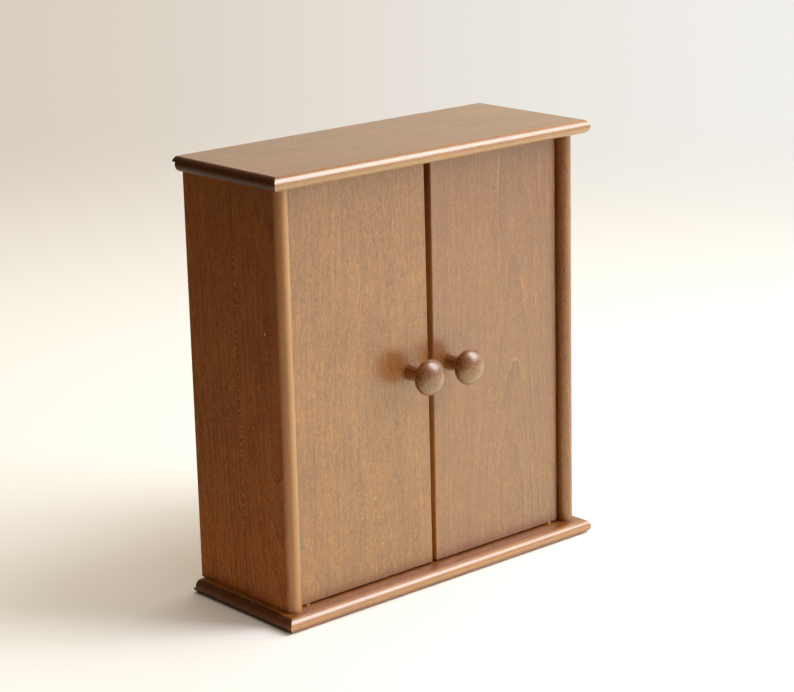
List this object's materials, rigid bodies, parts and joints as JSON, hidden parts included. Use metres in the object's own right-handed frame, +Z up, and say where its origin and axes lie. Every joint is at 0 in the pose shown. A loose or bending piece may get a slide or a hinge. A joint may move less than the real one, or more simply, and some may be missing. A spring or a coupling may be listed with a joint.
{
  "type": "desktop cabinet with doors",
  "caption": "Tall shallow wooden cabinet for a desk or shelf, with plain doors on pivots, turned knobs, a fixed shelf and rounded top and base boards.",
  "frame": {"origin": "middle of the base board's underside", "axes": "+Z up, the doors face -Y, +X towards the right-hand side as seen from the front"},
  "size_m": [0.34, 0.146, 0.37],
  "materials": {
    "stained_beech": "brown stain under satin lacquer",
    "plywood": "bare birch plywood",
    "beech_dowel": "bare beech",
    "steel": "zinc plated steel",
    "brass": "turned brass",
    "ferrite": "matt dark grey ferrite",
    "catch_plastic": "brown moulded plastic"
  },
  "bodies": {
    "cabinet": {"top_board": "stained_beech", "base_board": "stained_beech", "back_panel": "plywood", "back_panel_pins": "steel", "shelf": "stained_beech", "carcase_dowels": "beech_dowel", "catch_case": "catch_plastic", "catch_magnets": "ferrite", "catch_screws": "steel", "left_side_front_board": "stained_beech", "left_side_rear_board": "stained_beech", "left_foot_bush": "brass", "left_head_bush": "brass", "left_pivot_washer": "brass", "right_side_front_board": "stained_beech", "right_side_rear_board": "stained_beech", "right_foot_bush": "brass", "right_head_bush": "brass", "right_pivot_washer": "brass"},
    "left_door": {"left_door_hinge_board": "stained_beech", "left_door_knob_board": "stained_beech", "left_foot_pin": "steel", "left_head_pin": "steel", "left_knob": "stained_beech", "left_knob_insert": "brass", "left_knob_washer": "steel", "left_knob_screw": "steel", "left_strike_plate": "steel", "left_strike_screw": "steel"},
    "right_door": {"right_door_hinge_board": "stained_beech", "right_door_knob_board": "stained_beech", "right_foot_pin": "steel", "right_head_pin": "steel", "right_knob": "stained_beech", "right_knob_insert": "brass", "right_knob_washer": "steel", "right_knob_screw": "steel", "right_strike_plate": "steel", "right_strike_screw": "steel"}
  },
  "joints": [
    {"name": "left_door_swing", "type": "hinge", "parent": "cabinet", "child": "left_door", "pos_m": [-0.137, -0.043, 0.012], "axis": [0, 0, -1], "range_deg": [0, 115]},
    {"name": "right_door_swing", "type": "hinge", "parent": "cabinet", "child": "right_door", "pos_m": [0.137, -0.043, 0.012], "axis": [0, 0, 1], "range_deg": [0, 115]}
  ]
}
